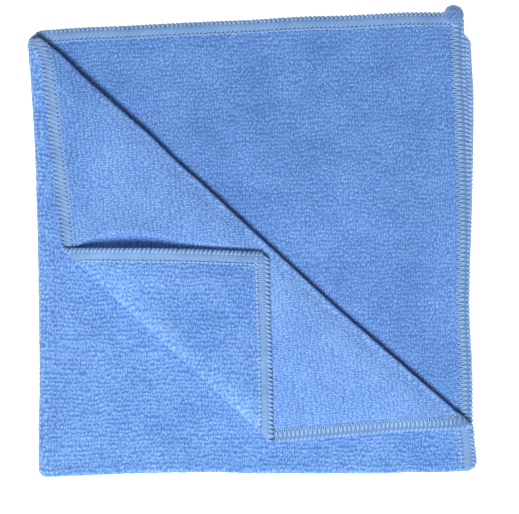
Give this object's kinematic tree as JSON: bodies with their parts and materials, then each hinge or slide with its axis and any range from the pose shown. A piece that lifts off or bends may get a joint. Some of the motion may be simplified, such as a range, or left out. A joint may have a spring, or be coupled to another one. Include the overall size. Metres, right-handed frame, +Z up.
{
  "type": "folded microfibre polishing cloth",
  "caption": "Square blue microfibre polishing cloth with overlocked edges, folded in quarters, one corner turned back along a diagonal and its tip turned back again.",
  "frame": {"origin": "centre of the folded cloth's footprint, on the surface it lies on", "axes": "+Z up out of the surface, +Y from the closed bottom crease to the open top edges, +X from the closed left crease to the open right edges"},
  "size_m": [0.1998, 0.2134, 0.0164],
  "materials": {
    "cloth_pile": "plush looped microfibre pile",
    "cloth_flat": "fine short-loop microfibre knit",
    "edge_thread": "smooth textured polyester overlock thread",
    "needle_thread": "spun polyester sewing thread"
  },
  "bodies": {
    "base": {"bottom_panel": "cloth_pile", "lower_inner_panel": "cloth_flat", "left_outer_fold": "cloth_pile", "left_inner_fold": "cloth_flat", "lower_bottom_fold": "cloth_pile", "corner_fold": "cloth_pile", "left_outer_edge_turn": "edge_thread", "left_inner_edge_turn": "edge_thread", "lower_bottom_edge_turn": "edge_thread", "bottom_needle_thread": "needle_thread", "bottom_upper_looper": "edge_thread", "bottom_lower_looper": "edge_thread", "lower_inner_needle_thread": "needle_thread", "lower_inner_upper_looper": "edge_thread", "lower_inner_lower_looper": "edge_thread"},
    "page": {"upper_inner_panel": "cloth_flat", "top_panel": "cloth_pile", "upper_bottom_fold": "cloth_pile", "flap_fold": "cloth_pile", "upper_bottom_edge_turn": "edge_thread", "flap_top_edge_turn": "edge_thread", "flap_side_edge_turn": "edge_thread", "corner_thread_knot": "edge_thread", "upper_inner_needle_thread": "needle_thread", "upper_inner_upper_looper": "edge_thread", "upper_inner_lower_looper": "edge_thread", "top_needle_thread": "needle_thread", "top_upper_looper": "edge_thread", "top_lower_looper": "edge_thread"},
    "flap": {"flap_panel": "cloth_flat", "tip_fold": "cloth_flat", "tip_top_edge_turn": "edge_thread", "tip_side_edge_turn": "edge_thread", "flap_needle_thread": "needle_thread", "flap_upper_looper": "edge_thread", "flap_lower_looper": "edge_thread"},
    "tip": {"tip_panel": "cloth_pile", "tip_needle_thread": "needle_thread", "tip_upper_looper": "edge_thread", "tip_lower_looper": "edge_thread"}
  },
  "joints": [
    {"name": "book_fold", "type": "hinge", "parent": "base", "child": "page", "pos_m": [-0.09455, -0.10415, 0.0054], "axis": [0, -1, 0], "range_deg": [0, 140], "deforming": ["left_outer_fold", "left_inner_fold", "left_outer_edge_turn", "left_inner_edge_turn", "corner_fold"]},
    {"name": "flap_fold", "type": "hinge", "parent": "page", "child": "flap", "pos_m": [-0.09455, 0.08685, 0.011], "axis": [-0.7423, 0.67, 0], "range_deg": [0, 130], "deforming": ["flap_fold", "flap_top_edge_turn", "flap_side_edge_turn"]},
    {"name": "tip_fold", "type": "hinge", "parent": "flap", "child": "tip", "pos_m": [-0.08755, 0.00185, 0.0138], "axis": [0.7218, -0.6921, 0], "range_deg": [0, 145], "deforming": ["tip_fold", "tip_top_edge_turn", "tip_side_edge_turn"]}
  ]
}
